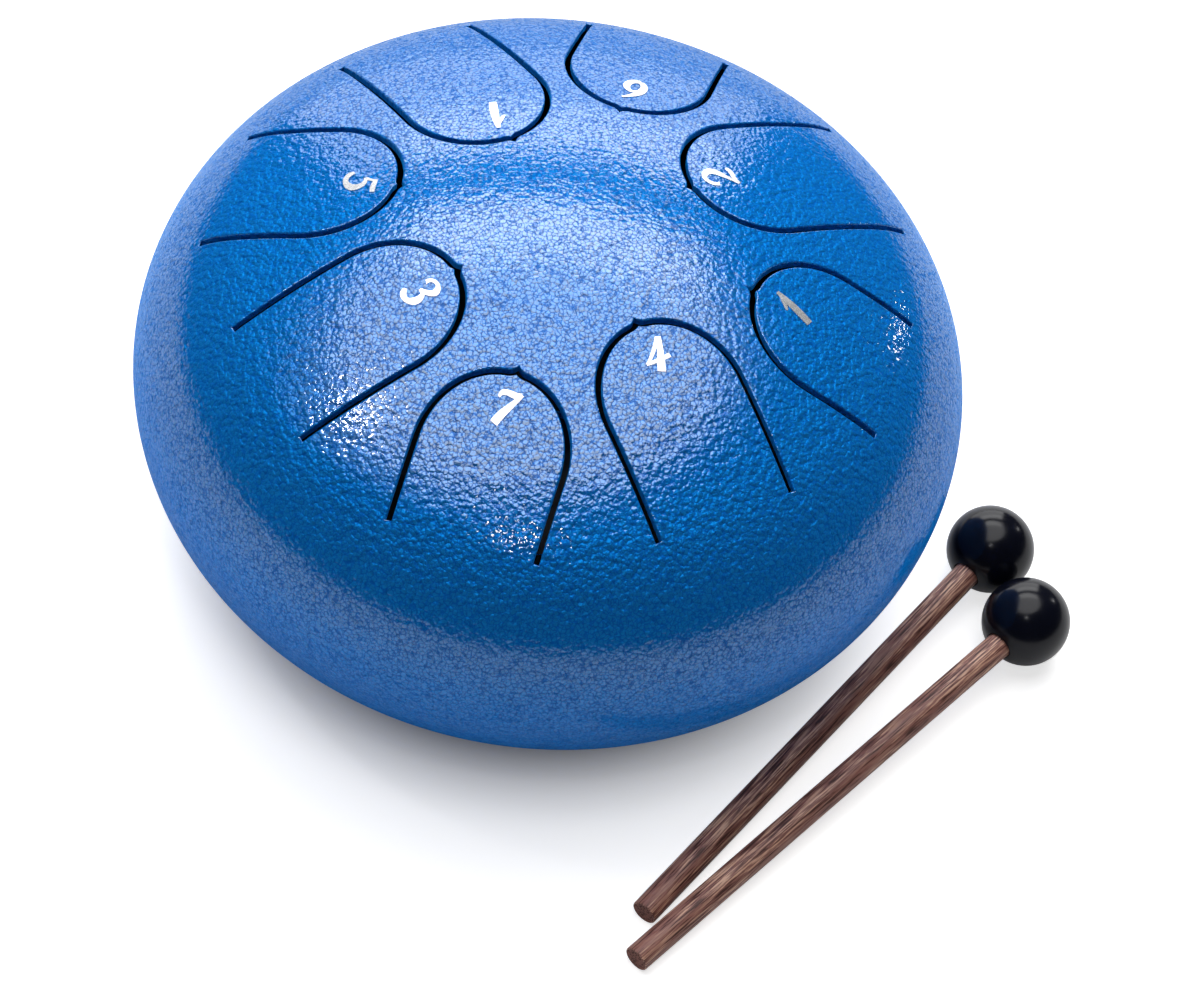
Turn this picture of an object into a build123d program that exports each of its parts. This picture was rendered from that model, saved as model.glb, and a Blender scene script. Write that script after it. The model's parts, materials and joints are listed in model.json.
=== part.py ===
from build123d import *
import os
from math import asin, atan2, cos, degrees, radians, sin, sqrt

# Steel tongue drum with its two mallets. Millimetres, +Z up, the table at zero, the player on the -Y side.
# The pieces are made with the drum's axis on Z. At the end they move sideways together, so that the origin
# lies under the middle of the whole set.

# Pressed shells
drum_radius = 76.0
sheet = 1.6
shoulder_radius = 33.0
dome_radius = 122.0
belly_radius = 34.0
foot_height = 8.0
sound_hole_share = 0.405
sound_hole_lip_share = 0.3
weld_radius = 1.5

# Tongues and the slots around them; shares are of the drum's radius
tongue_half_width_share = 0.1676
tongue_head_length_share = 0.1807
slot_width = 1.1
nib_half_width = 2.0
nib_height = 0.45
nib_growth = 0.5
root_gap = 0.02
first_bearing = 125.3

# One row per tongue, clockwise seen from above: name, distances of its round end and of its root from
# the axis as shares of the drum's radius, then how far its numeral is set back from the end and to the
# side as shares of the numeral's height.
tongue_row_shares = [
    ("1_low", 0.309, 0.812, 0.90, -0.07),
    ("6", 0.429, 0.811, 0.90, -0.12),
    ("2", 0.330, 0.840, 0.84, 0.12),
    ("1_high", 0.455, 0.809, 0.97, 0.09),
    ("4", 0.324, 0.772, 0.84, 0.02),
    ("7", 0.445, 0.809, 0.84, 0.06),
    ("3", 0.316, 0.780, 0.98, 0.16),
    ("5", 0.432, 0.842, 0.91, 0.04),
]

# Foil numerals near the round ends
numeral_height = 6.8
foil = 0.12

# Feet: rubber bumper, washer, screw and nut
foot_count = 3
foot_margin = 2.5
foot_top_radius = 7.5
foot_sole_radius = 6.8
foot_sole_rounding = 0.8
first_foot_bearing = 90.0
screw_radius = 2.0
screw_clearance = 0.2
screw_head_radius = 3.6
screw_head_height = 2.2
screw_recess = 0.5
screw_drive_width = 0.8
screw_drive_depth = 1.1
screw_end = 1.0
washer_radius = 4.3
washer_thickness = 0.8
washer_clearance = 0.3
nut_across_flats = 7.0
nut_height = 3.2

# Mallets lying side by side on the table
ball_radius = 8.3
handle_radius = 2.5
handle_reach = 105.0
handle_socket = 9.0
handle_clearance = 0.05
handle_end_chamfer = 0.25
mallet_offset = 20.2
mallet_bearing = -8.4
mallet_heading = -127.6
ball_gap = 0.84
ball_stagger = 7.6
handle_gap = 0.78

# How far cutting shapes run past the surface they cut
overrun = 5.0

seam_height = foot_height + belly_radius
shoulder_ring = drum_radius - shoulder_radius
belly_ring = drum_radius - belly_radius
foot_ring_radius = belly_ring - foot_top_radius - foot_margin
sound_hole_radius = belly_ring * sound_hole_share
tongue_half_width = drum_radius * tongue_half_width_share
tongue_head_length = drum_radius * tongue_head_length_share
dome_spread = degrees(asin(shoulder_ring / (dome_radius - shoulder_radius)))
dome_centre = seam_height - (dome_radius - shoulder_radius) * cos(radians(dome_spread))
dome_top = dome_centre + dome_radius
floor_inside = foot_height + sheet
washer_bottom = screw_recess + screw_head_height
washer_top = washer_bottom + washer_thickness
tongue_step = 360 / len(tongue_row_shares)
foot_step = 360 / foot_count

# Numerals are drawn as brush strokes. Each stroke is a row of points along its middle:
# across, up and half width, all as shares of the numeral's height.
numeral_stroke_shares = {
    "1": [
        [(0.20, 0.51, 0.05), (0.10, 0.20, 0.09), (-0.03, -0.14, 0.11), (-0.20, -0.53, 0.10)],
        [(0.17, 0.42, 0.04), (0.02, 0.27, 0.06), (-0.19, 0.12, 0.03)],
    ],
    "2": [
        [
            (-0.23, 0.13, 0.07),
            (-0.17, 0.34, 0.06),
            (0.06, 0.44, 0.07),
            (0.24, 0.22, 0.10),
            (0.14, 0.00, 0.09),
            (-0.11, -0.23, 0.05),
            (-0.28, -0.38, 0.04),
        ],
        [(-0.33, -0.44, 0.05), (-0.11, -0.38, 0.07), (0.11, -0.40, 0.07), (0.25, -0.32, 0.04)],
    ],
    "3": [
        [
            (-0.18, 0.24, 0.07),
            (-0.14, 0.39, 0.05),
            (0.06, 0.45, 0.05),
            (0.23, 0.29, 0.10),
            (0.11, 0.11, 0.07),
            (-0.07, 0.01, 0.04),
        ],
        [
            (-0.07, 0.02, 0.04),
            (0.10, -0.01, 0.06),
            (0.18, -0.20, 0.11),
            (0.00, -0.42, 0.07),
            (-0.23, -0.38, 0.08),
            (-0.30, -0.28, 0.05),
        ],
    ],
    "4": [
        [(0.28, 0.44, 0.05), (0.00, 0.11, 0.05), (-0.31, -0.16, 0.03)],
        [(-0.33, -0.15, 0.04), (0.00, -0.15, 0.05), (0.37, -0.12, 0.06)],
        [(0.31, 0.44, 0.07), (0.20, 0.11, 0.08), (0.07, -0.20, 0.10), (-0.04, -0.45, 0.11)],
    ],
    "5": [
        [(-0.11, 0.40, 0.04), (0.08, 0.38, 0.07), (0.34, 0.42, 0.06)],
        [(-0.06, 0.36, 0.04), (-0.09, 0.24, 0.04), (-0.12, 0.09, 0.05)],
        [
            (-0.13, 0.09, 0.04),
            (0.08, 0.10, 0.07),
            (0.23, -0.14, 0.11),
            (0.03, -0.39, 0.07),
            (-0.20, -0.37, 0.07),
            (-0.30, -0.25, 0.05),
        ],
    ],
    "6": [
        [
            (0.24, 0.50, 0.03),
            (0.03, 0.33, 0.06),
            (-0.17, 0.04, 0.11),
            (-0.21, -0.21, 0.10),
            (-0.06, -0.43, 0.07),
        ],
        [
            (-0.08, -0.43, 0.07),
            (0.17, -0.35, 0.09),
            (0.25, -0.10, 0.10),
            (0.11, 0.10, 0.06),
            (-0.09, 0.02, 0.04),
        ],
    ],
    "7": [
        [(-0.30, 0.21, 0.03), (-0.23, 0.35, 0.07), (-0.02, 0.36, 0.08), (0.25, 0.39, 0.06)],
        [(0.26, 0.41, 0.05), (0.11, 0.14, 0.07), (-0.06, -0.14, 0.10), (-0.21, -0.47, 0.11)],
    ],
}


def at_bearing(shape, bearing):
    """Turn a shape about the drum's axis."""
    return Rot(0, 0, bearing) * shape


def upper_body(inset):
    """Solid under the dome, above the seam, with its outside moved in by inset."""
    dome = CenterArc((0, dome_centre), dome_radius - inset, 90 - dome_spread, dome_spread)
    shoulder = CenterArc((shoulder_ring, seam_height), shoulder_radius - inset, 0, 90 - dome_spread)
    axis_side = Line((0, dome_top - inset), (0, seam_height))
    seam_side = Line((0, seam_height), (drum_radius - inset, seam_height))
    return revolve(Plane.XZ * make_face([shoulder, dome, axis_side, seam_side]), axis=Axis.Z)


def lower_body(inset):
    """Solid above the flat bottom, below the seam, with its outside moved in by inset."""
    bottom = foot_height + inset
    belly = CenterArc((belly_ring, seam_height), belly_radius - inset, -90, 90)
    seam_side = Line((drum_radius - inset, seam_height), (0, seam_height))
    axis_side = Line((0, seam_height), (0, bottom))
    flat = Line((0, bottom), (belly_ring, bottom))
    return revolve(Plane.XZ * make_face([belly, seam_side, axis_side, flat]), axis=Axis.Z)


def nib(end, growth, half_width, head_length):
    """Small pointed tip on the round end, with hollow flanks that start level with the end."""
    sag = head_length * (1 - sqrt(1 - (nib_half_width / half_width) ** 2))
    point = (end - nib_height - growth, 0)
    left = (end + sag, nib_half_width)
    right = (end + sag, -nib_half_width)
    flanks = [
        TangentArc(left, point, tangent=(0, -1)),
        TangentArc(right, point, tangent=(0, 1)),
        Line(right, left),
    ]
    return make_face(flanks)


def tongue_outline(end, root, widening, nib_extra):
    """Plan of a tongue along +X: straight sides from the root, elliptic head and nib."""
    half_width = tongue_half_width + widening
    head_length = tongue_head_length + widening
    head_centre = end + tongue_head_length
    side_length = root - head_centre
    head = Pos(head_centre, 0) * Ellipse(head_length, half_width)
    beyond = Pos(head_centre, 0) * Rectangle(
        head_length + overrun, 2 * (half_width + overrun), align=(Align.MIN, Align.CENTER)
    )
    sides = Pos(head_centre, 0) * Rectangle(side_length, 2 * half_width, align=(Align.MIN, Align.CENTER))
    return (head - beyond) + sides + nib(end - widening, nib_extra, half_width, head_length)


def upright(outline):
    """Prism through the dome above the seam."""
    return extrude(Pos(0, 0, seam_height) * outline, amount=dome_top - seam_height + overrun)


def brush_stroke(shares):
    """Outline of one stroke, from the points along its middle and its half widths there."""
    points = [
        (across * numeral_height, up * numeral_height, half * numeral_height)
        for across, up, half in shares
    ]
    left = []
    right = []
    for index, (across, up, half) in enumerate(points):
        before = points[max(index - 1, 0)]
        after = points[min(index + 1, len(points) - 1)]
        run = after[0] - before[0]
        rise = after[1] - before[1]
        length = sqrt(run**2 + rise**2)
        left.append((across - rise / length * half, up + run / length * half))
        right.append((across + rise / length * half, up - run / length * half))
    edges = [Spline(*left), Line(left[-1], right[-1]), Spline(*reversed(right)), Line(right[0], left[0])]
    return make_face(edges)


def numeral(figure, distance, aside):
    """Foil figure on the dome, its top towards the drum's axis, for a tongue along +X."""
    strokes = [brush_stroke(shares) for shares in numeral_stroke_shares[figure]]
    drawn = strokes[0]
    for stroke in strokes[1:]:
        drawn = drawn + stroke
    placed = Pos(distance, aside) * Rot(0, 0, 90) * drawn
    skin = Sphere(dome_radius + foil) - Sphere(dome_radius)
    return upright(placed) & Pos(0, 0, dome_centre) * skin


def foot():
    """Rubber bumper with a stepped hole, sole on the table."""
    cone = Cone(foot_sole_radius, foot_top_radius, foot_height, align=(Align.CENTER, Align.CENTER, Align.MIN))
    sole_edge = cone.edges().sort_by(Axis.Z)[0]
    body = fillet(sole_edge, foot_sole_rounding)
    bore = upright_rod(screw_radius + screw_clearance, -overrun, foot_height + overrun)
    pocket = upright_rod(washer_radius + washer_clearance, -overrun, washer_top)
    return body - bore - pocket


def upright_rod(radius, bottom, top):
    """Round bar on the Z axis between two heights."""
    return Pos(0, 0, bottom) * Cylinder(radius, top - bottom, align=(Align.CENTER, Align.CENTER, Align.MIN))


def ring(inner, outer, bottom, top):
    """Flat ring on the Z axis between two heights."""
    return upright_rod(outer, bottom, top) - upright_rod(inner, bottom - overrun, top + overrun)


def screw():
    """Pan-head screw, head down, with a cross drive."""
    head_bottom = screw_recess
    head_top = screw_recess + screw_head_height
    top = floor_inside + nut_height + screw_end
    head = upright_rod(screw_head_radius, head_bottom, head_top)
    shank = upright_rod(screw_radius, head_bottom, top)
    slot_size = (2 * screw_radius, screw_drive_width, 2 * screw_drive_depth)
    slot = Pos(0, 0, head_bottom) * Box(*slot_size)
    return head + shank - slot - Rot(0, 0, 90) * slot


def nut():
    """Hexagon nut on the inside of the bottom."""
    outline = RegularPolygon(nut_across_flats / 2, 6, major_radius=False)
    body = extrude(Pos(0, 0, floor_inside) * outline, amount=nut_height)
    return body - upright_rod(screw_radius + screw_clearance / 2, 0, floor_inside + nut_height + overrun)


def around_feet(shape):
    """One copy of a shape at each foot."""
    return [
        at_bearing(Pos(foot_ring_radius, 0) * shape, first_foot_bearing + foot_step * index)
        for index in range(foot_count)
    ]


def mallet(place, heading):
    """Handle and head of a mallet lying on the table; place is under the head, heading points to the tail."""
    span = sqrt(handle_reach**2 + handle_radius**2)
    lean = degrees(asin(ball_radius / span) - atan2(handle_radius, handle_reach))
    frame = Pos(place[0], place[1], ball_radius) * Rot(0, 0, heading) * Rot(0, 90 + lean, 0)
    socket_floor = ball_radius - handle_socket
    rod = upright_rod(handle_radius, socket_floor, handle_reach)
    rod = chamfer(rod.edges().filter_by(GeomType.CIRCLE), handle_end_chamfer)
    ball = Sphere(ball_radius)
    socket = upright_rod(handle_radius + handle_clearance, socket_floor, ball_radius + overrun)
    return frame * rod, frame * (ball - socket)


nodes = {}
upper_blank = upper_body(0) - upper_body(sheet)
lower_shell = lower_body(0) - lower_body(sheet)
chamber = upper_body(sheet) + lower_body(sheet)

# Upper shell with its slots, and the tongue and numeral in each opening
upper_shell = upper_blank
for place, (name, end_share, root_share, setback_share, aside_share) in enumerate(tongue_row_shares):
    bearing = first_bearing - tongue_step * place
    end = drum_radius * end_share
    root = drum_radius * root_share
    numeral_distance = end + numeral_height * setback_share
    numeral_aside = numeral_height * aside_share
    opening = upright(tongue_outline(end, root, slot_width, nib_growth))
    strip = upright(tongue_outline(end, root - root_gap, 0, 0))
    upper_shell = upper_shell - at_bearing(opening, bearing)
    nodes["tongue_" + name] = upper_blank & at_bearing(strip, bearing)
    nodes["numeral_" + name] = at_bearing(numeral(name[0], numeral_distance, numeral_aside), bearing)
nodes["upper_shell"] = upper_shell

# Weld bead on the inside of the seam
bead = Pos(0, 0, seam_height) * Torus(drum_radius - sheet, weld_radius)
nodes["seam_weld"] = bead & chamber

# Lower shell with the sound hole and the screw holes
hole = upright_rod(sound_hole_radius, foot_height - overrun, floor_inside + overrun)
lower_shell = lower_shell - hole
hole_edges = lower_shell.edges().filter_by(GeomType.CIRCLE).sort_by(SortBy.RADIUS)[:2]
lower_shell = fillet(hole_edges, sheet * sound_hole_lip_share)
screw_hole = upright_rod(screw_radius + screw_clearance, foot_height - overrun, floor_inside + overrun)
for placed_hole in around_feet(screw_hole):
    lower_shell = lower_shell - placed_hole
nodes["lower_shell"] = lower_shell

# Feet and their fasteners
for number, shape in enumerate(around_feet(foot()), start=1):
    nodes["foot_" + str(number)] = shape
washer = ring(screw_radius + screw_clearance, washer_radius, washer_bottom, washer_top)
nodes["foot_washers"] = Compound(around_feet(washer))
nodes["foot_screws"] = Compound(around_feet(screw()))
nodes["foot_nuts"] = Compound(around_feet(nut()))

# The front mallet, and the rear one beside it with its tail close to the front handle
front_distance = drum_radius + mallet_offset
front_place = (front_distance * cos(radians(mallet_bearing)), front_distance * sin(radians(mallet_bearing)))
ball_aside = sqrt((2 * ball_radius + ball_gap) ** 2 - ball_stagger**2)
convergence = degrees(asin((ball_aside - 2 * handle_radius - handle_gap) / handle_reach))
along = (cos(radians(mallet_heading)), sin(radians(mallet_heading)))
rear_place = (
    front_place[0] - along[0] * ball_stagger + along[1] * ball_aside,
    front_place[1] - along[1] * ball_stagger - along[0] * ball_aside,
)
for side, place, heading in [
    ("front", front_place, mallet_heading),
    ("rear", rear_place, mallet_heading + convergence),
]:
    handle, head = mallet(place, heading)
    nodes["mallet_handle_" + side] = handle
    nodes["mallet_head_" + side] = head

# All pieces move together, and each is written to its own file
boxes = [shape.bounding_box() for shape in nodes.values()]
middle_x = (min(box.min.X for box in boxes) + max(box.max.X for box in boxes)) / 2
middle_y = (min(box.min.Y for box in boxes) + max(box.max.Y for box in boxes)) / 2
os.makedirs("parts", exist_ok=True)
for name, shape in nodes.items():
    export_step(Pos(-middle_x, -middle_y) * shape, "parts/" + name + ".step")
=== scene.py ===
"""Looks of a steel tongue drum and its two mallets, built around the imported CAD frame.

The drum's shells and tongues, the mallet handles and the mallet heads are modelled here with exact smooth
surfaces. Numerals, feet, fasteners and the weld bead keep their CAD shape and get their finish here.
All lengths are metres in the frame's own axes.
"""

import json
from functools import wraps
from math import acos, asin, atan2, ceil, cos, hypot, pi, radians, sin, sqrt

import bpy
import numpy as np
from mathutils import Matrix, Vector
from mathutils.geometry import delaunay_2d_cdt

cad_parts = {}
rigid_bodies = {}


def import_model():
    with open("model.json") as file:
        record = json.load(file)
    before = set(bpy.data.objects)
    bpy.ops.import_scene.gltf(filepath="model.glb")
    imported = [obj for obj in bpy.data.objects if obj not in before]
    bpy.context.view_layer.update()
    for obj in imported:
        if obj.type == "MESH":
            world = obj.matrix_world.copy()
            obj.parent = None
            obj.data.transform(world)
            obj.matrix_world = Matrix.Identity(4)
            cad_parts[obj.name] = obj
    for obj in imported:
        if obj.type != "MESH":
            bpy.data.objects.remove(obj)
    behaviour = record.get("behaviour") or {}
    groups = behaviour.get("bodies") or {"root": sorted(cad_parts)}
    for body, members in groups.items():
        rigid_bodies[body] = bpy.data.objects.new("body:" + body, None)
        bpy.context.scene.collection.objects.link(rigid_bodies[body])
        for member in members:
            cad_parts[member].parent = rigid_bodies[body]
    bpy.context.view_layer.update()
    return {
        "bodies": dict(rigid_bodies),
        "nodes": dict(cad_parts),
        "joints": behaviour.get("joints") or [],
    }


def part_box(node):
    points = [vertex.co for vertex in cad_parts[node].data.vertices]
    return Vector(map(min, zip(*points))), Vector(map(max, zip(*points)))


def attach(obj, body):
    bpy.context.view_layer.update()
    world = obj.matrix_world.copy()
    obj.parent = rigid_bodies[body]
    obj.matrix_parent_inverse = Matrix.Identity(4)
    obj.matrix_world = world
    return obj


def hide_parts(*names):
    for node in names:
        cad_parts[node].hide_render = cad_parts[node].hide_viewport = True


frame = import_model()

bl_info = {
    "name": "Steel Tongue Drum",
    "version": (1, 0, 0),
    "blender": (4, 5, 0),
    "location": "View3D > Sidebar > Tongue Drum",
    "description": "Builds the enamelled shells, tongues and mallets of a steel tongue drum",
    "category": "Add Mesh",
}

MM = 0.001
TONGUES = [body for body in frame["bodies"] if body.startswith("struck_")]
MALLETS = ["front", "rear"]
FEET = ["foot_1", "foot_2", "foot_3"]
FASTENERS = ["foot_washers", "foot_screws"]
PIECE_PLACE = "piece_place"
PHOTO_WIDTH = 1200
PHOTO_HEIGHT = 1000
# Width of the camera's sensor in millimetres, and where its view starts
SENSOR_WIDTH = 36.0
NEAREST_SEEN = 10 * MM

WHITE = (1.0, 1.0, 1.0, 1.0)
BLACK = (0.0, 0.0, 0.0, 1.0)
WHOLE = (0.0, 1.0)
NOISE_SPAN = (0.3, 0.7)

# Materials of a piece: its outside, and its inside or cut end
OUTSIDE = 0
INSIDE = 1
# Points closer than this are one point of a mesh, or of a plan that is being filled
SAME_POINT = MM / 5000
SAME_PLAN_POINT = 1e-9
# Steps around the drum, around a mallet and along the profiles
TURNS = 360
MALLET_TURNS = 96
LIP_STEPS = 3
NIB_STEPS = 6
SIDE_STEPS = 14
HEAD_STEPS = 26
ROOT_STEPS = 16
SHOULDER_STEPS = 24
BELLY_STEPS = 32
SCREW_HOLE_STEPS = 32
SOUND_HOLE_LIP_STEPS = 6
BALL_STEPS = 64
BALL_LIP_STEPS = 5
TAIL_STEPS = 4
# Spacing of the points inside the dome and the flat bottom, and the dome's reach past the slots
DOME_SPACING = 2.5 * MM
BOTTOM_SPACING = 4 * MM
PAST_SLOTS = 1.5 * MM
# Shares of a handle's radius: rounding of its tail, bore of the head, rounding of the bore's mouth
TAIL_EASE = 1 / 10
BORE_SHARE = 1.02
BORE_LIP_SHARE = 0.12

UP = Vector((0, 0, 1))
DOWN = Vector((0, 0, -1))


def to_linear(hex_code):
    """Linear colour of an sRGB hex code."""
    channels = [int(hex_code[place : place + 2], 16) / 255 for place in (1, 3, 5)]
    return [c / 12.92 if c <= 0.04045 else ((c + 0.055) / 1.055) ** 2.4 for c in channels]


def middle(node):
    """Centre of a CAD node's box."""
    low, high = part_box(node)
    return (low + high) / 2


def points_of(node):
    """Corner points of a CAD node."""
    return [vertex.co for vertex in frame["nodes"][node].data.vertices]


drum_low, drum_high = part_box("lower_shell")
DRUM_AXIS = Vector((middle("lower_shell").x, middle("lower_shell").y, 0))
DRUM_RADIUS = (drum_high.x - drum_low.x) / 2
SEAM_HEIGHT = drum_high.z
FLOOR_OF_DRUM = drum_low.z
BALL_RADIUS = (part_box("mallet_head_front")[1].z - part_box("mallet_head_front")[0].z) / 2


def length(name, description, default):
    """Keyword arguments of a length setting."""
    return {"name": name, "description": description, "default": default, "unit": "LENGTH", "precision": 5}


def colour(name, description, hex_code):
    """Keyword arguments of a colour setting."""
    return {
        "name": name,
        "description": description,
        "default": to_linear(hex_code),
        "subtype": "COLOR",
        "size": 3,
        "min": 0.0,
        "max": 1.0,
    }


class TONGUEDRUM_PG_shells(bpy.types.PropertyGroup):
    """Sizes of the pressed shells and of the slots around the tongues."""

    sheet: bpy.props.FloatProperty(**length("Sheet", "Thickness of the steel sheet", 1.6 * MM))
    shoulder_radius: bpy.props.FloatProperty(**length("Shoulder", "Radius between dome and seam", 33 * MM))
    dome_radius: bpy.props.FloatProperty(**length("Dome", "Radius of the shallow dome", 122 * MM))
    belly_radius: bpy.props.FloatProperty(**length("Belly", "Radius below the seam", 34 * MM))
    sound_hole_radius: bpy.props.FloatProperty(**length("Sound hole", "Radius of the hole below", 17.01 * MM))
    sound_hole_lip: bpy.props.FloatProperty(**length("Hole lip", "Rounding of the hole's edges", 0.48 * MM))
    screw_hole_radius: bpy.props.FloatProperty(**length("Screw holes", "Radius of the foot screw holes", 2.2 * MM))
    tongue_half_width: bpy.props.FloatProperty(**length("Half width", "Half the width of a tongue", 12.7376 * MM))
    tongue_head: bpy.props.FloatProperty(**length("Head", "Length of a tongue's round head", 13.7332 * MM))
    slot_width: bpy.props.FloatProperty(**length("Slot", "Width of the slots", 1.1 * MM))
    root_gap: bpy.props.FloatProperty(**length("Root gap", "Room for a tongue to turn at its root", 0.03 * MM))
    slot_lip: bpy.props.FloatProperty(**length("Slot lip", "Rounding of the enamel over slot edges", 0.3 * MM))
    nib_half_width: bpy.props.FloatProperty(**length("Nib", "Half the width of a tongue's nib", 2 * MM))
    nib_height: bpy.props.FloatProperty(**length("Nib height", "Height of a tongue's nib", 0.45 * MM))
    nib_growth: bpy.props.FloatProperty(**length("Nib slot", "Extra slot in front of a nib", 0.5 * MM))


class TONGUEDRUM_PG_finishes(bpy.types.PropertyGroup):
    """Colours and pattern sizes of the finishes."""

    enamel_blue: bpy.props.FloatVectorProperty(**colour("Enamel", "Flakes in the hammered cells", "#067dd0"))
    enamel_vein: bpy.props.FloatVectorProperty(**colour("Veins", "Veins between the hammered cells", "#055cb6"))
    enamel_haze: bpy.props.FloatVectorProperty(**colour("Haze", "Flake haze seen at a slant", "#1a9cff"))
    enamel_cell: bpy.props.FloatProperty(**length("Cells", "Width of a hammered cell", 0.8 * MM))
    enamel_peel: bpy.props.FloatProperty(**length("Relief", "Depth of the hammered relief", 0.085 * MM))
    inside_primer: bpy.props.FloatVectorProperty(**colour("Primer", "Grey primer inside the shells", "#23262b"))
    foil_silver: bpy.props.FloatVectorProperty(**colour("Foil", "Silver of the numerals", "#eceef2"))
    foot_black: bpy.props.FloatVectorProperty(**colour("Feet", "Rubber of the feet", "#17181a"))
    zinc: bpy.props.FloatVectorProperty(**colour("Zinc", "Plating of screws and washers", "#b9bdc4"))
    weld_grey: bpy.props.FloatVectorProperty(**colour("Weld", "Bare weld bead", "#6d6a66"))
    wood_brown: bpy.props.FloatVectorProperty(**colour("Wood", "Body of the handle wood", "#9a675c"))
    wood_gold: bpy.props.FloatVectorProperty(**colour("Pale fibres", "Pale fibres in the wood", "#e6b89c"))
    wood_dark: bpy.props.FloatVectorProperty(**colour("Dark fibres", "Dark fibres in the wood", "#472821"))
    wood_fibre: bpy.props.FloatProperty(**length("Fibre", "Width of a fibre of the wood", 0.36 * MM))
    ball_black: bpy.props.FloatVectorProperty(**colour("Heads", "Rubber of the mallet heads", "#090b15"))


class TONGUEDRUM_PG_stage(bpy.types.PropertyGroup):
    """Floor, light and camera."""

    floor_white: bpy.props.FloatVectorProperty(**colour("Floor", "Paper floor", "#e8e8e8"))
    floor_size: bpy.props.FloatProperty(**length("Floor size", "Side of the floor", 12.0))
    focal_length: bpy.props.FloatProperty(
        name="Lens", description="Focal length of the camera, in millimetres", default=150.0
    )
    elevation: bpy.props.FloatProperty(
        name="Elevation",
        description="Height of the camera above the seam's plane",
        default=radians(51.2584),
        subtype="ANGLE",
    )
    roll: bpy.props.FloatProperty(
        name="Roll", description="Tilt of the camera about its view", default=radians(8.89), subtype="ANGLE"
    )
    distance: bpy.props.FloatProperty(**length("Distance", "Camera to the middle of the drum", 0.91607))
    seam_pixel: bpy.props.FloatVectorProperty(
        name="Seam centre",
        description="Where the middle of the seam's plane lies in the picture, in pixels",
        default=(549.595, 373.557),
        size=2,
    )


def fill(tree, node, inputs):
    """Set the inputs of a shader node, or link them where the value is another node's output."""
    for socket, value in inputs.items():
        if isinstance(value, bpy.types.NodeSocket):
            tree.links.new(value, node.inputs[socket])
        else:
            node.inputs[socket].default_value = value


def add_node(tree, kind, inputs=None, **settings):
    """Add one shader node, set its options, and fill or link its inputs."""
    node = tree.nodes.new("ShaderNode" + kind)
    for option, value in settings.items():
        setattr(node, option, value)
    fill(tree, node, inputs or {})
    return node


def own_place(tree):
    """Position on the piece, in its own axes."""
    return add_node(tree, "TexCoord").outputs["Object"]


def noise(tree, place, scale, detail, roughness=0.5, distortion=0.0):
    """Noise from 0 to 1, mostly within NOISE_SPAN, with its features per metre as the scale."""
    inputs = {"Vector": place, "Scale": scale, "Detail": detail, "Roughness": roughness, "Distortion": distortion}
    return add_node(tree, "TexNoise", inputs).outputs["Fac"]


def ramp(tree, value, span, to_span, curve="LINEAR"):
    """Value carried over from one span to another, and held at their ends."""
    inputs = {"Value": value, 1: span[0], 2: span[1], 3: to_span[0], 4: to_span[1]}
    return add_node(tree, "MapRange", inputs, interpolation_type=curve).outputs["Result"]


def mix(tree, share, first, second):
    """Colour on the way from a first one to a second."""
    return add_node(tree, "Mix", {0: share, 6: first, 7: second}, data_type="RGBA").outputs[2]


def calculate(tree, operation, *values):
    """Result of one sum."""
    return add_node(tree, "Math", dict(enumerate(values)), operation=operation).outputs["Value"]


def relief_of(tree, height, depth):
    """Surface directions of a relief that is too fine to model."""
    return add_node(tree, "Bump", {"Height": height, "Distance": depth}).outputs["Normal"]


def backdrop_share(tree, mirrored_share, other_share):
    """Share of the white backdrop: all of it for the camera, some in mirrors, and the least as light."""
    path = add_node(tree, "LightPath").outputs
    in_mirror = calculate(tree, "MAXIMUM", path["Is Glossy Ray"], path["Is Transmission Ray"])
    faint = ramp(tree, in_mirror, WHOLE, (other_share, mirrored_share))
    return calculate(tree, "MAXIMUM", path["Is Camera Ray"], faint)


def opaque(linear, brightness=1.0):
    """Colour for a shader socket, which also wants an alpha."""
    return (*(channel * brightness for channel in linear), 1.0)


def start_material(name):
    """New material, its node tree and its shader."""
    material = bpy.data.materials.new(name)
    material.use_nodes = True
    tree = material.node_tree
    return material, tree, tree.nodes["Principled BSDF"]


def once(build):
    """Let a material function give back the material that it has made before."""

    @wraps(build)
    def made(finishes):
        return bpy.data.materials.get(build.__name__) or build(finishes)

    return made


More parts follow.
